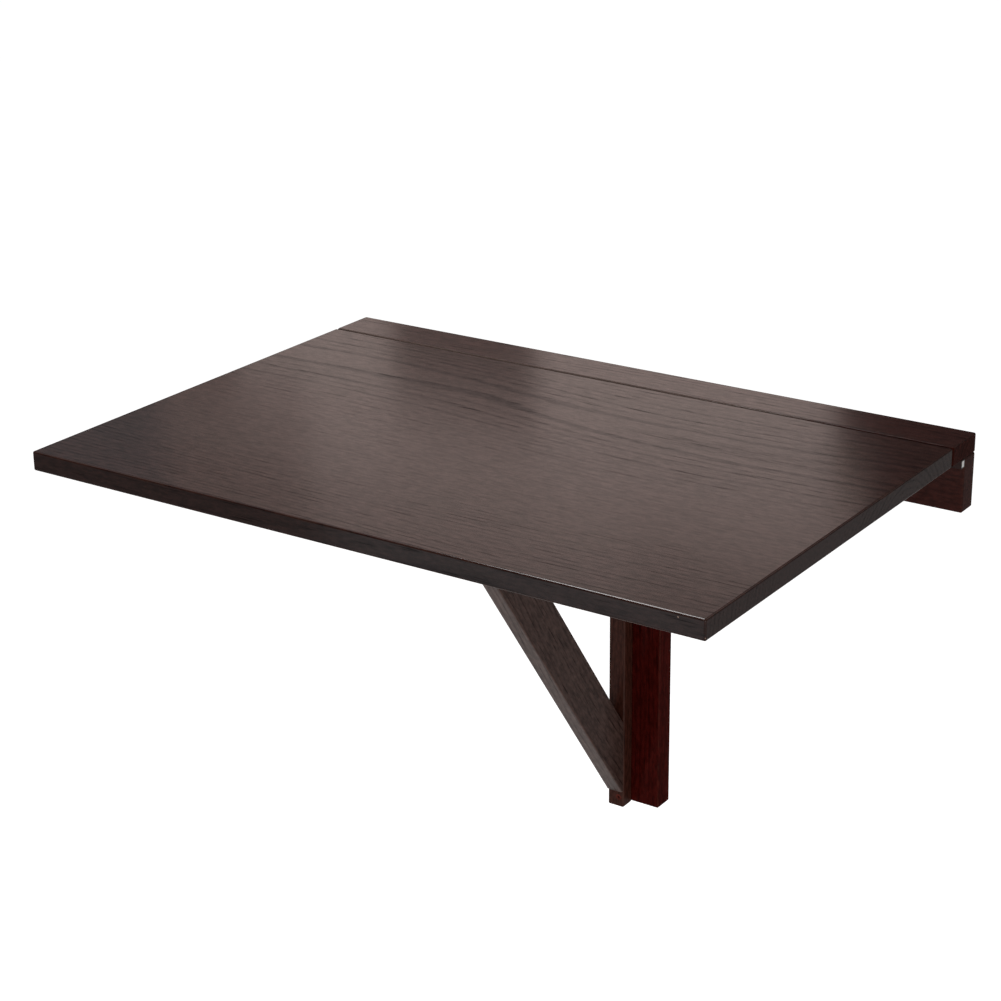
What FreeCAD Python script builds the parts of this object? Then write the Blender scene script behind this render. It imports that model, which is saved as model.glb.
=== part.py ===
import FreeCAD, Part
import os
import re
from collections import namedtuple

import Sketcher

# A table leaf hinged to a strip on the wall and held level by a bracket that swings out under it.
# Millimetres. X runs to the right along the wall, Y runs into the wall and Z runs up. The origin
# lies on the wall plane, at the middle of the rail.

SIZES = {
    # leaf, strip and wall boards
    "table_length": 600,
    "leaf_depth": 386,
    "board_thickness": 16,
    "strip_depth": 43,
    "seam_gap": 1.6,
    "rail_height": 46,
    "rail_thickness": 20,
    "post_width": 43,
    "post_length": 342,
    "edge_round": 1.5,
    # swinging bracket
    "bracket_left": 15,
    "bracket_thickness": 16,
    "bracket_gap": 1,
    "stile_depth": 14.5,
    "arm_length": 261.5,
    "arm_height": 24,
    "arm_drop": 9,
    "brace_width": 42,
    "brace_inset": 16,
    "toe_height": 13,
    # pad at the arm's tip
    "pad_length": 18,
    "pad_width": 10,
    "pad_inset": 3,
    "pad_gap": 0.3,
    # metal bar in the corner under the strip
    "bar_depth": 6,
    "bar_height": 7,
    "bar_screw_inset": 45,
    # butt hinges
    "hinge_length": 50,
    "plate_width": 14,
    "plate_thickness": 1.5,
    "knuckle_radius": 2.75,
    "knuckle_gap": 0.3,
    "barrel_drop": 0.5,
    "pin_radius": 1.25,
    "pin_head_radius": 2.1,
    "pin_head_thickness": 0.8,
    "running_gap": 0.05,
    "plate_screw_spacing": 30,
    "leaf_hinge_inset": 100,
    "bracket_hinge_inset": 45,
    # screws and dowels
    "screw_radius": 1.4,
    "screw_head_radius": 2.8,
    "screw_length": 12,
    "screw_tip": 2.5,
    "slot_width": 0.7,
    "slot_length": 3.2,
    "slot_depth": 0.8,
    "bar_screw_length": 17,
    "pad_screw_length": 18,
    "pad_screw_recess": 1.5,
    "toe_screw_height": 9.5,
    "toe_screw_offset": 3,
    "fit_gap": 0.05,
    "board_dowel_radius": 4,
    "strip_dowel_in_strip": 11,
    "strip_dowel_in_rail": 17,
    "strip_dowel_inset": 45,
    "post_dowel_depth": 20,
    "post_dowel_spacing": 24,
    "bracket_dowel_radius": 3,
    "bracket_dowel_in_bar": 10,
    "bracket_dowel_in_end": 18,
    "bracket_dowel_spacing": 13,
    # holes for the wall screws
    "wall_hole_radius": 2.5,
    "wall_sink_radius": 5,
    "rail_hole_inset": 80,
    "post_hole_spacing": 100,
    "post_hole_drop": 42,
    "post_hole_margin": 14,
}

KNUCKLES = 5
STRIP_DOWELS = 4
BAR_SCREWS = 4

# Places along each axis, as expressions of the sizes.
LEFT = "-table_length / 2"
RAIL_FRONT = "-rail_thickness"
STRIP_FRONT = "-strip_depth"
LEAF_FRONT = "-(strip_depth + seam_gap + leaf_depth)"
RAIL_TOP = "rail_height / 2"
RAIL_FOOT = "-rail_height / 2"
POST_FOOT = "-(rail_height / 2 + post_length)"
BRACKET_LEFT = "-bracket_left"
BRACKET_MIDDLE = "(bracket_thickness / 2 - bracket_left)"
STILE_FRONT = "-(rail_thickness + bracket_gap + stile_depth)"
ARM_TIP = "-(rail_thickness + bracket_gap + stile_depth + arm_length)"
ARM_TOP = "(rail_height / 2 - arm_drop)"
ARM_UNDER = "(rail_height / 2 - arm_drop - arm_height)"
TOE_TOP = "(toe_height - rail_height / 2 - post_length)"

# The brace's outer edge climbs by this rise over this run, and its ends are cut plumb and level.
RUN = "(arm_length - brace_inset)"
RISE = f"({ARM_UNDER} - {TOE_TOP})"
SPAN = f"sqrt({RUN} * {RUN} + {RISE} * {RISE})"
PLUMB_CUT = f"(brace_width * {SPAN} / {RUN})"
LEVEL_CUT = f"(brace_width * {SPAN} / {RISE})"

PLATE_FACE = "(knuckle_radius + barrel_drop)"
PLATE_FRONT = "(knuckle_radius + barrel_drop - plate_thickness)"
PLATE_START = "(knuckle_radius + knuckle_gap)"
SCREW_REACH = "(plate_width + knuckle_radius + knuckle_gap) / 2"
HEAD_DEPTH = "(screw_head_radius - screw_radius)"

WAYS = {
    "+x": FreeCAD.Vector(1, 0, 0),
    "+y": FreeCAD.Vector(0, 1, 0),
    "-y": FreeCAD.Vector(0, -1, 0),
    "+z": FreeCAD.Vector(0, 0, 1),
    "-z": FreeCAD.Vector(0, 0, -1),
}

# A hole or a rod: where it starts, which way it runs, and the radius of its countersink if any.
Hole = namedtuple("Hole", "start way radius length sink", defaults=[None])
Screw = namedtuple("Screw", "start way length")

doc = FreeCAD.newDocument("wall_table")
sheet = doc.addObject("Spreadsheet::Sheet", "Sizes")
for row, (name, value) in enumerate(SIZES.items(), start=1):
    sheet.set(f"A{row}", name)
    sheet.set(f"B{row}", str(value))
    sheet.setAlias(f"B{row}", name)
doc.recompute()

parts = []


def full(expression):
    """The expression with each size's name pointed at its cell."""
    return re.sub(
        r"[a-z_]+",
        lambda word: f"Sizes.{word[0]}" if word[0] in SIZES else word[0],
        expression,
    )


def sized(kind, name, **values):
    """A new object whose properties follow the sheet."""
    thing = doc.addObject(kind, name)
    bind(thing, **values)
    return thing


def bind(thing, **values):
    for quantity, expression in values.items():
        thing.setExpression(quantity, full(expression))


def put(thing, point, rotation=FreeCAD.Rotation()):
    """Place a thing at a point given as three expressions."""
    thing.Placement = FreeCAD.Placement(FreeCAD.Vector(), rotation)
    for axis, expression in zip("xyz", point):
        thing.setExpression(f"Placement.Base.{axis}", full(expression))
    return thing


def facing(way):
    return FreeCAD.Rotation(FreeCAD.Vector(0, 0, 1), WAYS[way])


def block(name, corner, length, width, height):
    return put(sized("Part::Box", name, Length=length, Width=width, Height=height), corner)


def rod(name, hole):
    thing = sized("Part::Cylinder", name, Radius=hole.radius, Height=hole.length)
    return put(thing, hole.start, facing(hole.way))


def sink(name, hole):
    depth = f"{hole.sink} - ({hole.radius})"
    cone = sized("Part::Cone", name, Radius1=hole.sink, Radius2=hole.radius, Height=depth)
    return put(cone, hole.start, facing(hole.way))


def fused(name, things):
    joined = doc.addObject("Part::MultiFuse", name)
    joined.Shapes = things
    return joined


def cut(name, base, tools):
    result = doc.addObject("Part::Cut", name)
    result.Base = base
    result.Tool = tools[0] if len(tools) == 1 else fused(f"{name}_holes", tools)
    return result


def group(name, things):
    gathered = doc.addObject("Part::Compound", name)
    gathered.Links = things
    return gathered


def keep(thing, label):
    """Name a finished piece and list it for export."""
    thing.Label = label
    parts.append(thing)
    return thing


def drilled(label, base, corner, holes):
    """A piece with its holes cut, set at its corner. The holes are given in the table's frame."""
    tools = []
    for hole in holes:
        start = [f"{place} - ({origin})" for place, origin in zip(hole.start, corner)]
        local = hole._replace(start=start)
        tools.append(rod(f"{label}_bore", local))
        if local.sink:
            tools.append(sink(f"{label}_sink", local))
    piece = cut(f"{label}_drilled", base, tools) if tools else base
    return keep(put(piece, corner), label)


def eased(body, blank):
    """Round every edge of a body's first feature a little."""
    doc.recompute()
    rounding = body.newObject("PartDesign::Fillet", f"{body.Name}_edges")
    rounding.Base = (blank, [""])
    rounding.UseAllEdges = True
    bind(rounding, Radius="edge_round")
    body.Tip = rounding


def board(label, corner, length, width, height, holes=()):
    body = doc.addObject("PartDesign::Body", f"{label}_body")
    blank = body.newObject("PartDesign::AdditiveBox", f"{label}_blank")
    bind(blank, Length=length, Width=width, Height=height)
    eased(body, blank)
    return drilled(label, body, corner, holes)


def outline_board(label, corner, points, thickness, holes=()):
    """A flat piece padded to the right from an outline drawn in the plane of Y and Z."""
    body = doc.addObject("PartDesign::Body", f"{label}_body")
    sketch = body.newObject("Sketcher::SketchObject", f"{label}_outline")
    plane = next(item for item in body.Origin.OriginFeatures if item.Role == "YZ_Plane")
    sketch.AttachmentSupport = [(plane, "")]
    sketch.MapMode = "FlatFace"
    marks = []
    for across, up in points:
        marker = [sheet.evalExpression(full(place)) for place in (across, up)]
        marks.append(FreeCAD.Vector(float(marker[0]), float(marker[1]), 0))
    following = marks[1:] + marks[:1]
    for begin, end in zip(marks, following):
        sketch.addGeometry(Part.LineSegment(begin, end))
    for line, (mark, place) in enumerate(zip(marks, points)):
        sketch.addConstraint(Sketcher.Constraint("Coincident", line, 2, (line + 1) % len(marks), 1))
        for kind, value, expression in zip(("DistanceX", "DistanceY"), mark, place):
            index = sketch.addConstraint(Sketcher.Constraint(kind, -1, 1, line, 1, value))
            sketch.setExpression(f"Constraints[{index}]", full(expression))
    doc.recompute()
    pad = body.newObject("PartDesign::Pad", f"{label}_pad")
    pad.Profile = sketch
    bind(pad, Length=thickness)
    eased(body, pad)
    return drilled(label, body, corner, holes)


def dowels(label, rods):
    """A group of wooden dowels, and the holes that they sit in."""
    keep(group(label, [rod(f"{label}_dowel", one) for one in rods]), label)
    return [one._replace(radius=f"{one.radius} + fit_gap") for one in rods]


def screw(name, one):
    """A countersunk wood screw with a cross slot, its head flush at the start point."""
    head = sized("Part::Cone", f"{name}_head", Radius1="screw_head_radius",
                 Radius2="screw_radius", Height=HEAD_DEPTH)
    shank = sized("Part::Cylinder", f"{name}_shank", Radius="screw_radius",
                  Height=f"{one.length} - screw_tip")
    tip = sized("Part::Cone", f"{name}_tip", Radius1="screw_radius", Radius2="0", Height="screw_tip")
    put(tip, ("0", "0", f"{one.length} - screw_tip"))
    half_long, half_wide = "-slot_length / 2", "-slot_width / 2"
    slots = [
        block(f"{name}_slot", (half_long, half_wide, "0"), "slot_length", "slot_width", "slot_depth"),
        block(f"{name}_slot", (half_wide, half_long, "0"), "slot_width", "slot_length", "slot_depth"),
    ]
    solid = cut(f"{name}_screw", fused(f"{name}_round", [head, shank, tip]), slots)
    return put(solid, one.start, facing(one.way))


def screws(label, ones):
    keep(group(label, [screw(label, one) for one in ones]), label)


def single_screw(label, one):
    keep(screw(label, one), label)


def screw_hole(one, sunk=False):
    return Hole(one.start, one.way, "screw_radius + fit_gap", f"{one.length} + fit_gap",
                "screw_head_radius + fit_gap" if sunk else None)


def level(x, y, z):
    return x, y, z


def upright(x, y, z):
    return z, y, f"-({x})"


class Hinge:
    """A butt hinge opened flat. In its own frame the pin runs along X, the fixed plate lies towards
    +Y, the moving plate towards -Y, and both plates bear on the boards with their +Z faces."""

    def __init__(self, name, centre, turn, rotation, way):
        self.name = name
        self.centre = centre
        self.turn = turn
        self.rotation = rotation
        self.way = way
        self.fixed_screws = self.plate(f"{name}_fixed_plate", 1, range(0, KNUCKLES, 2))
        self.moving_screws = self.plate(f"{name}_moving_plate", -1, range(1, KNUCKLES, 2))
        self.pin(f"{name}_pin")

    def outside(self, x, y, z):
        """A point of the hinge's own frame in the table's frame."""
        moved = zip(self.centre, self.turn(x, y, z))
        return tuple(f"{origin} + ({place})" for origin, place in moved)

    def plate(self, label, side, knuckles):
        step = f"(hinge_length / {KNUCKLES})"
        span = f"({step} - knuckle_gap)"
        near = PLATE_START if side > 0 else "-plate_width"
        flat = block(f"{label}_flat", ("-hinge_length / 2", near, PLATE_FRONT), "hinge_length",
                     f"plate_width - {PLATE_START}", "plate_thickness")
        solids = [flat]
        for index in knuckles:
            begin = f"{step} * {index} - hinge_length / 2 + knuckle_gap / 2"
            tab_start = "0" if side > 0 else f"-{PLATE_START}"
            solids.append(block(f"{label}_tab", (begin, tab_start, PLATE_FRONT), span, PLATE_START,
                                "plate_thickness"))
            knuckle = Hole((begin, "0", "0"), "+x", "knuckle_radius", span)
            solids.append(rod(f"{label}_knuckle", knuckle))
        bore = Hole(("-hinge_length", "0", "0"), "+x", "pin_radius + running_gap", "hinge_length * 2")
        tools = [rod(f"{label}_bore", bore)]
        placed = []
        for end in (-1, 1):
            spot = (f"{end} * plate_screw_spacing / 2", f"{side} * {SCREW_REACH}", PLATE_FRONT)
            hole = screw_hole(Screw(spot, "+z", "screw_length"), sunk=True)
            tools += [rod(f"{label}_bore", hole), sink(f"{label}_sink", hole)]
            placed.append(Screw(self.outside(*spot), self.way, "screw_length"))
        whole = cut(f"{label}_cut", fused(f"{label}_solid", solids), tools)
        keep(put(whole, self.centre, self.rotation), label)
        return placed

    def pin(self, label):
        reach = "(hinge_length / 2 - knuckle_gap / 2)"
        shaft = Hole((f"-{reach}", "0", "0"), "+x", "pin_radius", f"2 * {reach}")
        near = Hole((f"-{reach} - pin_head_thickness", "0", "0"), "+x", "pin_head_radius",
                    "pin_head_thickness")
        far = near._replace(start=(reach, "0", "0"))
        solid = fused(f"{label}_solid", [rod(f"{label}_rod", one) for one in (shaft, near, far)])
        keep(put(solid, self.centre, self.rotation), label)


def spread(count, spacing):
    """Evenly spaced offsets either side of the middle."""
    return [f"{index - (count - 1) / 2} * {spacing}" for index in range(count)]


def between_ends(count, inset):
    """The spacing of a row along the table that stops short of both ends by an inset."""
    return f"(table_length - 2 * {inset}) / {count - 1}"


# Hinges: two under the seam and two on the left faces of the post and the stile. The lower one
# sits level with the brace's foot, so that its screws pass above and below the dowels there.
seam_middle = "-(strip_depth + seam_gap / 2)"
gate_middle = "-(rail_thickness + bracket_gap / 2)"
foot_middle = f"{TOE_TOP} + ({PLUMB_CUT} + bracket_dowel_in_end * {RISE} / {RUN}) / 2"
leaf_hinges = [
    Hinge(f"leaf_hinge_{name}", (offset, seam_middle, f"{RAIL_TOP} - {PLATE_FACE}"), level,
          FreeCAD.Rotation(), "+z")
    for name, offset in zip(("left", "right"), spread(2, between_ends(2, "leaf_hinge_inset")))
]
quarter_turn = FreeCAD.Rotation(FreeCAD.Vector(0, 1, 0), 90)
bracket_hinges = [
    Hinge(f"bracket_hinge_{name}", (f"{BRACKET_LEFT} - {PLATE_FACE}", gate_middle, height), upright,
          quarter_turn, "+x")
    for name, height in (("upper", f"{RAIL_FOOT} - bracket_hinge_inset"),
                         ("lower", foot_middle))
]
strip_screws = [one for hinge in leaf_hinges for one in hinge.fixed_screws]
leaf_screws = [one for hinge in leaf_hinges for one in hinge.moving_screws]
post_screws = [one for hinge in bracket_hinges for one in hinge.fixed_screws]
stile_screws = [one for hinge in bracket_hinges for one in hinge.moving_screws]
screws("strip_hinge_screws", strip_screws)
screws("leaf_hinge_screws", leaf_screws)
screws("post_hinge_screws", post_screws)
screws("stile_hinge_screws", stile_screws)

# Dowels that join the boards.
strip_holes = dowels("strip_dowels", [
    Hole((offset, "-rail_thickness / 2", f"{RAIL_TOP} - strip_dowel_in_rail"), "+z",
         "board_dowel_radius", "strip_dowel_in_rail + strip_dowel_in_strip")
    for offset in spread(STRIP_DOWELS, between_ends(STRIP_DOWELS, "strip_dowel_inset"))
])
post_middle = "post_width / 2 - bracket_left"
post_holes = dowels("post_dowels", [
    Hole((f"{post_middle} + {offset}", "-rail_thickness / 2", f"{RAIL_FOOT} - post_dowel_depth"),
         "+z", "board_dowel_radius", "post_dowel_depth * 2")
    for offset in spread(2, "post_dowel_spacing")
])
dowel_length = "bracket_dowel_in_bar + bracket_dowel_in_end"
into_stile = f"{STILE_FRONT} - bracket_dowel_in_end"
arm_holes = dowels("arm_dowels", [
    Hole((BRACKET_MIDDLE, into_stile, f"{ARM_TOP} - arm_height / 2 + {offset}"), "+y",
         "bracket_dowel_radius", dowel_length)
    for offset in spread(2, "bracket_dowel_spacing")
])
foot_holes = dowels("brace_foot_dowels", [
    Hole((BRACKET_MIDDLE, into_stile, f"{foot_middle} + {offset}"), "+y", "bracket_dowel_radius",
         dowel_length)
    for offset in spread(2, "bracket_dowel_spacing")
])
head_middle = f"{STILE_FRONT} - {RUN} + ({LEVEL_CUT} + bracket_dowel_in_end * {RUN} / {RISE}) / 2"
head_holes = dowels("brace_head_dowels", [
    Hole((BRACKET_MIDDLE, f"{head_middle} + {offset}", f"{ARM_UNDER} - bracket_dowel_in_end"), "+z",
         "bracket_dowel_radius", dowel_length)
    for offset in spread(2, "bracket_dowel_spacing")
])

# Screws of the corner bar, the pad and the stile's foot.
bar_middle = f"{RAIL_FRONT} - bar_depth / 2"
bar_step = between_ends(BAR_SCREWS, "bar_screw_inset")
bar_up = [
    Screw((offset, bar_middle, f"{RAIL_TOP} - bar_height"), "+z", "bar_screw_length")
    for offset in spread(BAR_SCREWS, bar_step)
]
bar_back = [
    Screw((offset, f"{RAIL_FRONT} - bar_depth", f"{RAIL_TOP} - bar_height / 2"), "+y",
          "bar_screw_length")
    for offset in spread(BAR_SCREWS - 1, bar_step)
]
screws("corner_bar_screws", bar_up + bar_back)
pad_middle = f"{ARM_TIP} + pad_inset + pad_length / 2"
pad_top = f"{RAIL_TOP} - pad_gap"
pad_screw = Screw((BRACKET_MIDDLE, pad_middle, f"{pad_top} - pad_screw_recess"), "-z",
                  "pad_screw_length")
single_screw("rest_pad_screw", pad_screw)
toe_screw = Screw((f"{BRACKET_MIDDLE} + toe_screw_offset", STILE_FRONT,
                   f"{POST_FOOT} + toe_screw_height"), "+y", "screw_length")
single_screw("toe_screw", toe_screw)

# Wall boards, with open holes for the wall screws.
rail_wall_holes = [
    Hole((offset, RAIL_FRONT, "0"), "+y", "wall_hole_radius", "rail_thickness", "wall_sink_radius")
    for offset in spread(2, between_ends(2, "rail_hole_inset"))
]
post_right = "post_width - bracket_left"
post_wall_holes = [
    Hole((f"{post_right} - post_hole_margin", RAIL_FRONT, f"{RAIL_FOOT} - post_hole_drop - {drop}"),
         "+y", "wall_hole_radius", "rail_thickness", "wall_sink_radius")
    for drop in ("0", "post_hole_spacing")
]
bar_screw_holes = [screw_hole(one) for one in bar_up + bar_back]
board("wall_rail", (LEFT, RAIL_FRONT, RAIL_FOOT), "table_length", "rail_thickness", "rail_height",
      rail_wall_holes + strip_holes + post_holes + bar_screw_holes[BAR_SCREWS:])
board("hinge_strip", (LEFT, STRIP_FRONT, RAIL_TOP), "table_length", "strip_depth", "board_thickness",
      strip_holes + bar_screw_holes[:BAR_SCREWS] + [screw_hole(one) for one in strip_screws])
board("wall_post", (BRACKET_LEFT, RAIL_FRONT, POST_FOOT), "post_width", "rail_thickness",
      "post_length", post_wall_holes + post_holes + [screw_hole(one) for one in post_screws])
bar_corner = (LEFT, f"{RAIL_FRONT} - bar_depth", f"{RAIL_TOP} - bar_height")
bar = block("corner_bar_blank", ("0", "0", "0"), "table_length", "bar_depth", "bar_height")
drilled("corner_bar", bar, bar_corner, [screw_hole(one, sunk=True) for one in bar_up + bar_back])

# The folding leaf.
board("leaf_panel", (LEFT, LEAF_FRONT, RAIL_TOP), "table_length", "leaf_depth", "board_thickness",
      [screw_hole(one) for one in leaf_screws])

# The bracket.
board("bracket_stile", (BRACKET_LEFT, STILE_FRONT, POST_FOOT), "bracket_thickness", "stile_depth",
      f"{ARM_TOP} - ({POST_FOOT})",
      arm_holes + foot_holes + [screw_hole(toe_screw, sunk=True)]
      + [screw_hole(one) for one in stile_screws])
board("bracket_arm", (BRACKET_LEFT, ARM_TIP, ARM_UNDER), "bracket_thickness", "arm_length",
      "arm_height", arm_holes + head_holes + [screw_hole(pad_screw)])
outline_board("bracket_brace", (BRACKET_LEFT, STILE_FRONT, TOE_TOP),
              [("0", "0"), ("0", PLUMB_CUT), (f"{LEVEL_CUT} - {RUN}", RISE), (f"-{RUN}", RISE)],
              "bracket_thickness", foot_holes + head_holes)
pad_corner = (f"{BRACKET_MIDDLE} - pad_width / 2", f"{ARM_TIP} + pad_inset", ARM_TOP)
recess = Hole((BRACKET_MIDDLE, pad_middle, pad_top), "-z", "screw_head_radius + fit_gap",
              "pad_screw_recess")
board("rest_pad", pad_corner, "pad_width", "pad_length", "arm_drop - pad_gap",
      [screw_hole(pad_screw, sunk=True), recess])

doc.recompute()
for thing in doc.Objects:
    if {"Invalid", "Error"} & set(thing.State):
        raise RuntimeError(f"{thing.Label} did not compute")
os.makedirs("parts", exist_ok=True)
for piece in parts:
    if piece.Shape.isNull() or not piece.Shape.isValid():
        raise RuntimeError(f"{piece.Label} has no valid shape")
    piece.Shape.exportStep(f"parts/{piece.Label}.step")
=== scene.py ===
import math

import bpy
import numpy as np
from mathutils import Matrix, Vector


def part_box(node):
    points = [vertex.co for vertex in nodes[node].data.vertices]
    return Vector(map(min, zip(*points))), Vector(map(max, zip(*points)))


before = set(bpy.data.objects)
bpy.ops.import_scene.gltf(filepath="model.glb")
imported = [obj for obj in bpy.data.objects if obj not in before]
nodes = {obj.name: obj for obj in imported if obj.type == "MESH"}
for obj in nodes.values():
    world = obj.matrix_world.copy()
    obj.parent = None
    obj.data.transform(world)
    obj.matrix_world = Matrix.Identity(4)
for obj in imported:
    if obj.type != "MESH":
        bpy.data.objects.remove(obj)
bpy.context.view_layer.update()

# How far wear reaches from an edge, how far grime reaches from the seam, and where along the table
# the pale dust in the seam, which is also a painted highlight there, thins out.
ARRIS_REACH = 0.0016
SEAM_REACH = 0.0020
DUST_AND_HIGHLIGHT_THINS = (0.13, 0.21)

# How far a face looks up where a side turns into the top, and how far it looks back where the front
# turns into a side.
SIDE_TO_TOP = (0.2, 0.7)
FRONT_TO_SIDE = (-0.7, -0.3)

# The calm band of a board that has none lies far outside it.
NO_CALM = (9.0, 0.1)

FLOOR_DEPTH = -0.74
FLOOR_REACH = 30.0
PANEL_PLANE = 1.5

WARM = (1.0, 0.83, 0.77)
SOFT_WARM = (1.0, 0.92, 0.88)
COOL = (0.86, 0.96, 1.0)
WHITE = (1.0, 1.0, 1.0)

# Soft boxes in the plane behind the table: left, right, low and high edge, radiance and tint.
BACK_PANELS = {
    "low_left_panel": (-1.76, -1.40, 0.44, 0.73, 1.10, WARM),
    "low_middle_panel": (-1.40, -1.10, 0.44, 0.73, 0.22, WARM),
    "low_right_panel": (-1.10, -0.545, 0.44, 0.73, 1.18, WARM),
    "middle_left_panel": (-1.95, -1.60, 0.73, 0.895, 0.62, WARM),
    "middle_panel": (-1.60, -0.49, 0.73, 0.895, 1.08, WARM),
    "high_left_panel": (-1.95, -1.60, 0.895, 1.165, 0.50, WARM),
    "high_panel": (-1.60, -0.92, 0.895, 1.165, 0.86, WARM),
    "high_right_panel": (-0.92, -0.45, 0.895, 1.165, 0.58, WARM),
    "left_panel": (-2.55, -1.95, 0.75, 1.21, 0.28, COOL),
    "side_panel": (0.7, 1.5, 0.8, 1.6, 0.5, WARM),
    "upper_panel": (-2.0, 0.5, 1.35, 2.8, 0.45, WARM),
}

# Soft boxes elsewhere: place, the point that they face, width, height, radiance and tint.
EDGE_LAMP = ((-0.50, -0.32, 1.40), (0.34, -0.43, 0.04), 1.3, 0.26, 9.5, WHITE)
OTHER_BOXES = {
    "ceiling": ((-0.4, 0.2, 2.4), (-0.1, -0.2, 0.0), 2.4, 1.8, 0.45, WHITE),
    "front_panel": ((-0.53, -1.5, -0.47), (-0.53, 0.0, -0.47), 0.65, 0.16, 1.2, COOL),
    "far_panel": ((1.1, -2.2, 1.0), (0.0, -0.2, 0.05), 1.8, 1.2, 0.7, WARM),
    "low_fill": ((1.4, -1.7, 0.0), (0.0, -0.1, -0.15), 1.2, 0.7, 2.9, SOFT_WARM),
}
KEY_WAY = (0.55, -0.15, -0.82)
KEY_IRRADIANCE = 0.2
KEY_SPREAD = 45

CAMERA_PLACE = (0.98169, -1.66406, 0.66240)
CAMERA_AHEAD = (-0.52588, 0.77120, -0.35874)
CAMERA_LEAN = math.asin(-0.01193)
LENS_MM = 85.46
SENSOR_MM = 36.0


def shade(red, green, blue):
    """A colour given as it looks on screen, 0 to 255, in the linear values that shaders take."""
    screen = np.array([red, green, blue]) / 255
    linear = np.where(screen <= 0.04045, screen / 12.92, ((screen + 0.055) / 1.055) ** 2.4)
    return (*linear.tolist(), 1.0)


class Bench:
    """A node tree, with short ways to set out nodes and join them."""

    def __init__(self, tree):
        self.tree = tree

    def node(self, kind, inputs=None, **settings):
        made = self.tree.nodes.new(kind)
        for name, value in settings.items():
            setattr(made, name, value)
        for key, value in (inputs or {}).items():
            self.feed(value, made.inputs[key])
        return made

    def feed(self, value, socket):
        if isinstance(value, bpy.types.NodeSocket):
            self.tree.links.new(value, socket)
        else:
            socket.default_value = value

    def give(self, sockets, **values):
        """Feed sockets by their names, with underscores for spaces."""
        for name, value in values.items():
            self.feed(value, sockets[name.replace("_", " ")])

    def place(self, tree, **inputs):
        made = self.node("ShaderNodeGroup", node_tree=tree)
        self.give(made.inputs, **inputs)
        return made.outputs

    def calc(self, operation, *values):
        return self.node("ShaderNodeMath", dict(enumerate(values)), operation=operation).outputs[0]

    def product(self, first, *others):
        for other in others:
            first = self.calc("MULTIPLY", first, other)
        return first

    def total(self, base, *parts):
        """The base plus each part, given as a value and its share."""
        for value, share in parts:
            base = self.calc("MULTIPLY_ADD", value, share, base)
        return base

    def turn(self, operation, *values):
        made = self.node("ShaderNodeVectorMath", dict(enumerate(values)), operation=operation)
        return made.outputs["Value" if operation in ("LENGTH", "DISTANCE") else "Vector"]

    def split(self, vector):
        return self.node("ShaderNodeSeparateXYZ", {0: vector}).outputs

    def clouds(self, vector, stretch, detail=2.0, roughness=0.5):
        """Cloudy values and colours about 0.5, with this many clouds to the metre along each axis."""
        scaled = self.turn("MULTIPLY", vector, stretch)
        return self.node("ShaderNodeTexNoise", {
            "Vector": scaled, "Scale": 1.0, "Detail": detail, "Roughness": roughness}).outputs

    def noise(self, vector, stretch, detail=2.0, roughness=0.5):
        return self.clouds(vector, stretch, detail, roughness)[0]

    def drift(self, vector, stretch, detail, sway):
        """A cloudy push about nothing, this far along each axis."""
        colour = self.clouds(vector, stretch, detail)["Color"]
        return self.turn("MULTIPLY", self.turn("SUBTRACT", colour, (0.5, 0.5, 0.5)), sway)

    def uneven(self, value, vector, density, swing, detail, roughness=0.5):
        """A value pushed up and down by clouds, by half the swing at most."""
        patchy = self.noise(vector, (density, density, density), detail, roughness)
        return self.calc("ADD", value, self.total(-swing / 2, (patchy, swing)))

    def ramp(self, value, low, high, start=0.0, end=1.0):
        """Start below low, end above high, with a smooth change between."""
        made = self.node("ShaderNodeMapRange", {0: value, 1: low, 2: high, 3: start, 4: end},
                         interpolation_type="SMOOTHSTEP")
        return made.outputs[0]

    def blend(self, share, first, second, mode="MIX"):
        made = self.node("ShaderNodeMix", {0: share, 6: first, 7: second},
                         data_type="RGBA", blend_type=mode)
        return made.outputs[2]

    def emboss(self, shader, height, strength, distance):
        bump = self.node("ShaderNodeBump", {
            "Strength": strength, "Distance": distance, "Height": height})
        self.feed(bump.outputs[0], shader.inputs["Normal"])


def effect(name, inputs, outputs):
    """A shader node group with named sockets, each given as a name and a kind."""
    tree = bpy.data.node_groups.new(name, "ShaderNodeTree")
    for way, sockets in (("INPUT", inputs), ("OUTPUT", outputs)):
        for label, kind in sockets.items():
            tree.interface.new_socket(name=label, in_out=way, socket_type=f"NodeSocket{kind}")
    bench = Bench(tree)
    return tree, bench, bench.node("NodeGroupInput").outputs, bench.node("NodeGroupOutput").inputs


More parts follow.
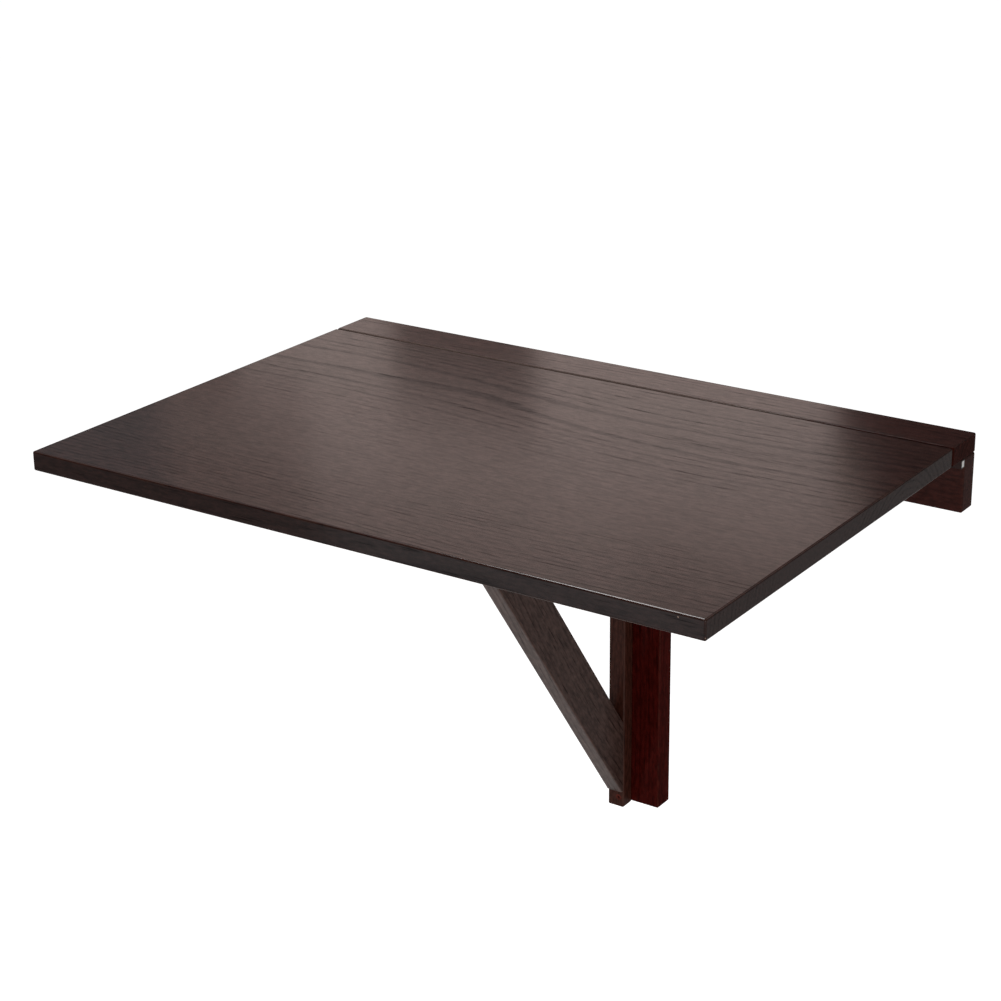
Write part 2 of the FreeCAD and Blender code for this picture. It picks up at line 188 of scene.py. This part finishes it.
def timber_figure():
    """Growth is the fraction of the distance from a wandering pith along X, in ring widths. Rings
    are one, less a dip early in each year's growth that is deeper in some years. Pores are short
    dashes along X, thickest in those dips. Mottle is fine flecks, and tone is broad clouds. The
    calm is a band along X, this far across and this wide, where the dips are faint."""
    tree, bench, given, result = effect(
        "timber_figure",
        {"Place": "Vector", "Ring width": "Float", "Calm": "Float", "Calm width": "Float"},
        {"Rings": "Float", "Pores": "Float", "Mottle": "Float", "Tone": "Float"},
    )
    place = given["Place"]
    bend = bench.drift(place, (1.7, 4.0, 4.0), 1.0, (0.0, 0.075, 0.075))
    ripple = bench.drift(place, (9.0, 70.0, 70.0), 2.0, (0.0, 0.0026, 0.0026))
    grown = bench.turn("ADD", bench.turn("ADD", place, bend), ripple)
    reach = bench.turn("LENGTH", bench.turn("MULTIPLY", grown, (0.0, 1.0, 1.0)))
    counted = bench.calc("DIVIDE", reach, given["Ring width"])
    year = bench.calc("FLOOR", counted)
    growth = bench.calc("FRACT", counted)
    strength = bench.node("ShaderNodeTexWhiteNoise", {"W": year}, noise_dimensions="1D").outputs[0]
    force = bench.total(0.25, (bench.calc("POWER", strength, 2.0), 0.75))
    across = bench.calc("ABSOLUTE", bench.calc("SUBTRACT", bench.split(grown)[1], given["Calm"]))
    lively = bench.ramp(bench.calc("DIVIDE", across, given["Calm width"]), 0.5, 1.1, 0.22, 1.0)
    opening = bench.ramp(growth, 0.0, 0.10)
    closing = bench.ramp(growth, 0.16, 0.62, 1.0, 0.0)
    early = bench.product(opening, closing, lively)
    pits = bench.ramp(bench.noise(place, (34.0, 1150.0, 1150.0), 1.0), 0.56, 0.70)
    bench.give(
        result,
        Rings=bench.calc("SUBTRACT", 1.0, bench.product(early, force)),
        Pores=bench.product(pits, bench.total(0.22, (early, 0.70))),
        Mottle=bench.noise(place, (120.0, 420.0, 420.0), 3.0, 0.6),
        Tone=bench.noise(place, (2.2, 9.0, 9.0), 3.0, 0.55),
    )
    return tree


def worn_arris():
    """On a box, the sum of the distances to its faces less the largest of them is small only along
    its edges. Edge is one there and fades out over the reach, and Wear is the same broken up."""
    tree, bench, given, result = effect(
        "worn_arris",
        {"Place": "Vector", "Half size": "Vector", "Reach": "Float"},
        {"Edge": "Float", "Wear": "Float"},
    )
    inner = bench.turn("SUBTRACT", given["Half size"], bench.turn("ABSOLUTE", given["Place"]))
    x, y, z = bench.split(inner)
    most = bench.calc("MAXIMUM", bench.calc("MAXIMUM", x, y), z)
    summed = bench.calc("ADD", bench.calc("ADD", x, y), z)
    away = bench.calc("DIVIDE", bench.calc("SUBTRACT", summed, most), given["Reach"])
    broken = bench.uneven(away, given["Place"], 38.0, 2.4, 4.0, 0.65)
    bench.give(result, Edge=bench.ramp(away, 0.6, 1.2, 1.0, 0.0),
               Wear=bench.ramp(broken, 0.2, 1.0, 1.0, 0.0))
    return tree


def joint_grime():
    """Grime is one where the given distance to a joint is nothing, and fades out unevenly."""
    tree, bench, given, result = effect(
        "joint_grime", {"Place": "Vector", "Distance": "Float", "Reach": "Float"}, {"Grime": "Float"})
    away = bench.calc("DIVIDE", given["Distance"], given["Reach"])
    broken = bench.uneven(away, given["Place"], 60.0, 0.6, 3.0)
    bench.give(result, Grime=bench.ramp(broken, 0.25, 1.0, 1.0, 0.0))
    return tree


def handled_lacquer():
    """Haze is broad soft smears left by hands and cloths, and specks are fine dust in the lacquer."""
    tree, bench, given, result = effect(
        "handled_lacquer", {"Place": "Vector"}, {"Haze": "Float", "Specks": "Float"})
    smear = bench.noise(given["Place"], (11.0, 26.0, 26.0), 4.0, 0.6)
    grit = bench.noise(given["Place"], (900.0, 900.0, 900.0), 1.0)
    bench.give(result, Haze=bench.ramp(smear, 0.32, 0.72), Specks=bench.ramp(grit, 0.60, 0.78))
    return tree


def drawn_metal():
    """Streaks are fine lines along the way that the metal was rolled or drawn, and scuffs are
    cloudy dull patches."""
    tree, bench, given, result = effect(
        "drawn_metal", {"Place": "Vector", "Lines": "Vector"}, {"Streaks": "Float", "Scuffs": "Float"})
    cloud = bench.noise(given["Place"], (160.0, 160.0, 160.0), 4.0, 0.62)
    bench.give(result, Streaks=bench.noise(given["Place"], given["Lines"], 3.0),
               Scuffs=bench.ramp(cloud, 0.45, 0.70))
    return tree


FIGURE = timber_figure()
ARRIS = worn_arris()
GRIME = joint_grime()
LACQUER = handled_lacquer()
METAL = drawn_metal()


def finish(name):
    """A new material, its bench, its shader and its place in the table's frame."""
    material = bpy.data.materials.new(name)
    material.use_nodes = True
    bench = Bench(material.node_tree)
    shader = material.node_tree.nodes["Principled BSDF"]
    place = bench.node("ShaderNodeTexCoord").outputs["Object"]
    return material, bench, shader, place


def dress(material, *names):
    for name in names:
        mesh = nodes[name].data
        mesh.materials.clear()
        mesh.materials.append(material)


# Casts of the stain, in the dips of the rings and between them.
RED = (shade(60, 9, 7), shade(72, 14, 11))
# The brown and umber casts, used on the bracket, are lighter than the rest: partly a stain of their
# own, partly painted light for the soft light that the bracket catches.
BROWN_AND_PAINTED_LIGHT = (shade(54, 26, 21), shade(70, 39, 31))
UMBER_AND_PAINTED_LIGHT = (shade(62, 44, 40), shade(76, 58, 53))


def own_frame(bench, place, name, grain):
    """A place on a board from its middle, along the grain, across it and through, and the board's
    half size that way."""
    along = Vector(grain).normalized()
    across = Vector((-1, 0, 0) if grain[1] else (0, 1, 0))
    turn = Matrix((along, across, along.cross(across)))
    corners = np.array([turn @ corner.co for corner in nodes[name].data.vertices])
    low, high = corners.min(axis=0), corners.max(axis=0)
    own = bench.node("ShaderNodeMapping", {
        "Vector": place, "Rotation": turn.to_euler(), "Location": -(low + high) / 2}).outputs[0]
    return own, (high - low) / 2


def grained_stain(bench, figure, speckle, cast, share):
    """A stain that is dark in the dips of the rings, with a share of a cast, speckled all over and
    darkest in the pores."""
    dark = bench.blend(figure["Tone"], shade(38, 9, 8), shade(31, 10, 9))
    light = bench.blend(figure["Tone"], shade(58, 26, 20), shade(48, 24, 19))
    stain = bench.blend(figure["Rings"], dark, light)
    stain = bench.blend(share, stain, bench.blend(figure["Rings"], *cast))
    grey = bench.node("ShaderNodeCombineColor", {0: speckle, 1: speckle, 2: speckle}).outputs[0]
    stain = bench.blend(1.0, stain, grey, "MULTIPLY")
    return bench.blend(bench.product(figure["Pores"], 0.75), stain, shade(12, 5, 4))


def chipped(bench, place, stain, spot, size):
    """The stain with a ragged pale chip of a size at a spot."""
    ragged = bench.noise(place, (700.0, 700.0, 700.0))
    away = bench.total(bench.turn("DISTANCE", place, spot), (ragged, size))
    return bench.blend(bench.ramp(away, size, 1.5 * size, 1.0, 0.0), stain, shade(150, 128, 116))


def stained_board(name, grain, pith, ring_width, sheen, cast=RED, share=0.0, front=0.0, drink_and_side_shade=0.0,
                  satin=0.16, calm=NO_CALM, seam=None, chips=()):
    """Dark stained, satin lacquered timber with its grain along a direction. The pith lies this far
    from the board's middle, along, across and through it. Sheen is the lacquer on the sides as a
    share of that on top, and front is the same for faces that look to the front, where that is
    more. The stain has a share of a cast. Drink is how far the sides go to a darker colour, partly
    stain drunk in and partly painted shade on the faces that look sideways. The seam is the side
    across the grain, -1 or 1, that has a neighbour close by, where grime gathers and nothing rubs.
    Pale dust lies there on what looks up, but not near the right end; it is also a painted
    highlight that lightens the dark seam."""
    material, bench, shader, place = finish(f"stained_{name}")
    own, extent = own_frame(bench, place, name, grain)
    figure = bench.place(FIGURE, Place=bench.turn("SUBTRACT", own, pith), Ring_width=ring_width,
                         Calm=calm[0] - pith[1], Calm_width=calm[1])
    arris = bench.place(ARRIS, Place=own, Half_size=extent, Reach=ARRIS_REACH)
    wear = arris["Wear"]
    film = bench.place(LACQUER, Place=own)
    facing = bench.split(bench.node("ShaderNodeTexCoord").outputs["Normal"])

    speckle = bench.ramp(figure["Mottle"], 0.25, 0.75, 0.6, 1.4)
    stain = grained_stain(bench, figure, speckle, cast, share)
    # Painted shade: the sides go to a darker colour than the top, by the way they face.
    stain = bench.blend(bench.ramp(facing[2], *SIDE_TO_TOP, drink_and_side_shade, 0.0), stain, shade(18, 12, 11))
    lacquer = bench.calc("MAXIMUM", bench.ramp(facing[2], *SIDE_TO_TOP, sheen, 1.0),
                         bench.ramp(facing[1], *FRONT_TO_SIDE, front, 0.0))
    gloss = bench.product(bench.total(0.40, (figure["Rings"], 0.15), (speckle, 0.2)),
                          bench.total(1.0, (figure["Pores"], -0.6)))
    gloss = bench.product(bench.calc("MAXIMUM", gloss, arris["Edge"]), lacquer)
    dull = bench.total(0.15, (figure["Pores"], 0.24), (film["Haze"], 0.04), (film["Specks"], 0.06))
    if seam:
        gap = bench.total(extent[1], (bench.split(own)[1], -seam))
        grime = bench.place(GRIME, Place=own, Distance=gap, Reach=SEAM_REACH)["Grime"]
        wear = bench.product(wear, bench.total(1.0, (grime, -1.0)))
        gloss = bench.product(gloss, bench.total(1.0, (grime, -0.9)))
        dull = bench.total(dull, (grime, 0.3))
        # Pale dust in the seam, partly dust and partly a painted highlight that lightens the dark gap,
        # thinning out towards the right end.
        thinning = bench.ramp(bench.split(place)[0], *DUST_AND_HIGHLIGHT_THINS, 0.85, 0.0)
        dust_and_highlight = bench.product(grime, bench.ramp(facing[2], 0.1, 0.5), thinning)
        stain = bench.blend(dust_and_highlight, stain, shade(108, 94, 88))
    stain = bench.blend(bench.product(wear, 0.26), stain, shade(92, 62, 50))
    for spot, size in chips:
        stain = chipped(bench, place, stain, spot, size)
    bench.give(shader.inputs, Base_Color=stain, Roughness=dull, Coat_Weight=gloss,
               Coat_Roughness=satin, Specular_IOR_Level=0.0)
    relief = bench.total(figure["Rings"], (figure["Pores"], -1.0), (film["Specks"], 0.25),
                         (figure["Mottle"], 0.5))
    bench.emboss(shader, relief, 0.14, 0.0004)
    dress(material, name)


def bare_wood():
    """Pale turned dowel timber, with close rings and a dry surface."""
    material, bench, shader, place = finish("bare_dowel_wood")
    figure = bench.place(FIGURE, Place=bench.turn("ADD", place, (0.0, 0.03, 0.05)),
                         Ring_width=0.0016, Calm=NO_CALM[0], Calm_width=NO_CALM[1])
    pale = bench.blend(figure["Tone"], shade(214, 180, 136), shade(196, 158, 114))
    timber = bench.blend(figure["Rings"], shade(168, 126, 84), pale)
    timber = bench.blend(bench.product(figure["Pores"], 0.6), timber, shade(120, 84, 54))
    bench.give(shader.inputs, Base_Color=timber, Roughness=bench.total(0.62, (figure["Pores"], 0.2)))
    bench.emboss(shader, figure["Rings"], 0.3, 0.0003)
    return material


def metal(name, bright, dull, lines, smooth, rough):
    """A plated metal between a bright and a dull colour, with its drawing lines and scuffs."""
    material, bench, shader, place = finish(name)
    surface = bench.place(METAL, Place=place, Lines=lines)
    tint = bench.blend(surface["Streaks"], bright, dull)
    tint = bench.blend(bench.product(surface["Scuffs"], 0.45), tint, dull)
    streaked = bench.total(smooth, (surface["Streaks"], rough - smooth), (surface["Scuffs"], 0.16))
    bench.give(shader.inputs, Base_Color=tint, Roughness=streaked, Metallic=1.0)
    bench.emboss(shader, surface["Streaks"], 0.12, 0.0001)
    return material


def painted_bar():
    """A steel bar, dark along its length and a little way over the rim of its sawn ends, with bare
    bright steel in the middle of each end."""
    material, bench, shader, place = finish("painted_bar")
    surface = bench.place(METAL, Place=place, Lines=(30, 1800, 1800))
    low, high = (Vector(corner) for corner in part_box("corner_bar"))
    offset = bench.turn("ABSOLUTE", bench.turn("SUBTRACT", place, (low + high) / 2))
    x, y, z = bench.split(bench.turn("SUBTRACT", (high - low) / 2, offset))
    at_end = bench.ramp(x, 0.0001, 0.0005, 1.0, 0.0)
    bare = bench.product(at_end, bench.ramp(bench.calc("MINIMUM", y, z), 0.0007, 0.0012))
    dark_length = bench.blend(surface["Scuffs"], shade(34, 14, 12), shade(46, 26, 22))
    steel = bench.blend(surface["Streaks"], shade(250, 250, 248), shade(226, 226, 224))
    bench.give(shader.inputs, Base_Color=bench.blend(bare, dark_length, steel), Metallic=bare,
               Roughness=bench.total(0.3, (surface["Streaks"], 0.2)), Specular_IOR_Level=0.2)
    bench.emboss(shader, surface["Streaks"], 0.12, 0.0001)
    return material


def moulded_nylon():
    """Off-white nylon, a little cloudy, rubbed smoother in places."""
    material, bench, shader, place = finish("moulded_nylon")
    cloud = bench.noise(place, (240.0, 240.0, 240.0), 3.0)
    grain = bench.noise(place, (2600.0, 2600.0, 2600.0), 1.0)
    tint = bench.blend(cloud, shade(226, 222, 210), shade(204, 198, 182))
    bench.give(shader.inputs, Base_Color=tint, Roughness=bench.ramp(cloud, 0.3, 0.7, 0.34, 0.56))
    bench.emboss(shader, grain, 0.15, 0.0001)
    return material


# Each board has its grain along its length and its own stretch of timber.
stained_board("leaf_panel", (1, 0, 0), (3.70, 0.105, -0.062), 0.0050, 0.57, drink_and_side_shade=0.5,
              calm=(-0.045, 0.075), seam=1,
              chips=(((0.2792, -0.4306, 0.036), 0.0008), ((0.2999, -0.4306, 0.0254), 0.0009)))
stained_board("hinge_strip", (1, 0, 0), (4.07, 0.085, -0.055), 0.0044, 0.10, share=0.12, seam=-1)
stained_board("wall_rail", (1, 0, 0), (3.33, -0.06, 0.045), 0.0040, 0.24, share=0.15,
              calm=(0.0, 0.12))
stained_board("wall_post", (0, 0, 1), (3.33, 0.02, 0.07), 0.0042, 0.05, share=0.8)
# The stile, arm and brace take the lighter casts, partly painted light on the bracket.
stained_board("bracket_stile", (0, 0, 1), (4.81, 0.05, 0.04), 0.0034, 0.28, BROWN_AND_PAINTED_LIGHT, 1.0, satin=0.3)
stained_board("bracket_arm", (0, 1, 0), (4.07, 0.05, 0.06), 0.0036, 0.35, UMBER_AND_PAINTED_LIGHT, 0.8, satin=0.3)
stained_board("bracket_brace", (0, -0.583, 0.812), (4.81, 0.05, 0.06), 0.0038, 0.34, UMBER_AND_PAINTED_LIGHT, 1.0,
              front=0.9, satin=0.3)
dress(bare_wood(), "strip_dowels", "post_dowels", "arm_dowels", "brace_foot_dowels",
      "brace_head_dowels")

ZINC = (shade(196, 194, 188), shade(150, 147, 142))
level_hinge = metal("hinge_steel", *ZINC, (60, 1500, 1500), 0.24, 0.42)
upright_hinge = metal("upright_hinge_steel", *ZINC, (1500, 1500, 60), 0.24, 0.42)
pin_steel = metal("pin_steel", shade(186, 184, 180), shade(128, 126, 122), (300, 300, 300), 0.2, 0.4)
screw_zinc = metal("screw_zinc", shade(208, 206, 196), shade(158, 154, 142), (500, 500, 500),
                   0.22, 0.4)
browned_steel = metal("browned_steel", shade(112, 54, 45), shade(62, 28, 24), (500, 500, 500),
                      0.28, 0.46)
for hinge, steel in (("leaf_hinge_left", level_hinge), ("leaf_hinge_right", level_hinge),
                     ("bracket_hinge_upper", upright_hinge), ("bracket_hinge_lower", upright_hinge)):
    dress(steel, f"{hinge}_fixed_plate", f"{hinge}_moving_plate")
    dress(pin_steel, f"{hinge}_pin")
dress(screw_zinc, "strip_hinge_screws", "leaf_hinge_screws", "post_hinge_screws",
      "stile_hinge_screws", "corner_bar_screws", "rest_pad_screw")
dress(browned_steel, "toe_screw")
dress(painted_bar(), "corner_bar")
dress(moulded_nylon(), "rest_pad")


def pale_floor():
    """A wide level sheet under the table, on a grid of two parameters, left and right and to and fro.
    To the camera it glows evenly, and to the table it is a dimmer pale floor that also glows
    faintly and lights the table from below."""
    steps = np.linspace(-FLOOR_REACH, FLOOR_REACH, 3)
    across, along = np.meshgrid(steps, steps)
    points = np.stack([across, along, np.full_like(across, FLOOR_DEPTH)], axis=-1).reshape(-1, 3)
    corner = (np.arange(2)[:, None] * 3 + np.arange(2)).ravel()
    faces = corner[:, None] + np.array([0, 1, 4, 3])
    mesh = bpy.data.meshes.new("floor")
    mesh.from_pydata(points.tolist(), [], faces.tolist())
    floor = bpy.data.objects.new("floor", mesh)
    bpy.context.scene.collection.objects.link(floor)
    material, bench, shader, place = finish("pale_floor")
    cloud = bench.noise(place, (0.7, 0.7, 0.7))
    seen = bench.node("ShaderNodeLightPath").outputs["Is Camera Ray"]
    pale = bench.blend(cloud, shade(246, 246, 246), shade(242, 242, 242))
    glow = bench.blend(seen, (0.32, 0.32, 0.32, 1.0), pale)
    bench.give(shader.inputs, Base_Color=bench.blend(seen, shade(226, 224, 222), pale),
               Roughness=0.9, Specular_IOR_Level=0.1, Emission_Color=glow, Emission_Strength=1.0)
    mesh.materials.append(material)


def facing_way(way):
    """The turn of a lamp that shines this way."""
    return Vector(way).to_track_quat("-Z", "Y").to_euler()


def softbox(name, place, aim, width, height, radiance, tint):
    """A rectangular lamp. Its power is its radiance times its area times pi."""
    lamp = bpy.data.lights.new(name, "AREA")
    lamp.shape = "RECTANGLE"
    lamp.size, lamp.size_y = width, height
    lamp.energy = radiance * width * height * math.pi
    lamp.color = tint
    box = bpy.data.objects.new(name, lamp)
    box.location = place
    box.rotation_euler = facing_way(Vector(aim) - Vector(place))
    box.visible_camera = False
    bpy.context.scene.collection.objects.link(box)


def back_panel(name, left, right, low, high, radiance, tint):
    """A soft box in an upright plane behind the table, given by its edges."""
    middle = ((left + right) / 2, PANEL_PLANE, (low + high) / 2)
    softbox(name, middle, (middle[0], 0.0, middle[2]), right - left, high - low, radiance, tint)


def broad_key():
    """A lamp so far away that it lights the whole floor evenly, as wide as its spread in degrees."""
    lamp = bpy.data.lights.new("key", "SUN")
    lamp.energy = KEY_IRRADIANCE
    lamp.angle = math.radians(KEY_SPREAD)
    key = bpy.data.objects.new("key", lamp)
    key.rotation_euler = facing_way(KEY_WAY)
    bpy.context.scene.collection.objects.link(key)


def soft_studio():
    """A broad key from the upper left, panels behind and above for the sheen on the top, a lamp for
    its front edge, and a low fill. The air is white to the camera and dim to the table."""
    world = bpy.data.worlds.new("studio")
    world.use_nodes = True
    air = world.node_tree.nodes["Background"]
    air.inputs["Color"].default_value = (1.0, 1.0, 1.0, 1.0)
    bench = Bench(world.node_tree)
    seen = bench.node("ShaderNodeLightPath").outputs["Is Camera Ray"]
    bench.feed(bench.total(0.06, (seen, 0.94)), air.inputs["Strength"])
    bpy.context.scene.world = world
    broad_key()
    softbox("edge_lamp", *EDGE_LAMP)
    for name, edges in BACK_PANELS.items():
        back_panel(name, *edges)
    for name, settings in OTHER_BOXES.items():
        softbox(name, *settings)
    view = bpy.context.scene.view_settings
    view.view_transform = "Standard"
    view.look = "None"


def photo_camera():
    """The camera stands where the table's corners fall on the picture as they do in the photo."""
    ahead = Vector(CAMERA_AHEAD).normalized()
    level = ahead.cross(Vector((0, 0, 1))).normalized()
    right = Matrix.Rotation(CAMERA_LEAN, 3, -ahead) @ level
    up = right.cross(ahead)
    turn = Matrix((right, up, -ahead)).transposed()
    lens = bpy.data.cameras.new("camera")
    lens.sensor_width = SENSOR_MM
    lens.lens = LENS_MM
    lens.clip_start, lens.clip_end = 0.01, 200.0
    camera = bpy.data.objects.new("camera", lens)
    camera.matrix_world = Matrix.Translation(CAMERA_PLACE) @ turn.to_4x4()
    bpy.context.scene.collection.objects.link(camera)
    bpy.context.scene.camera = camera


pale_floor()
soft_studio()
photo_camera()
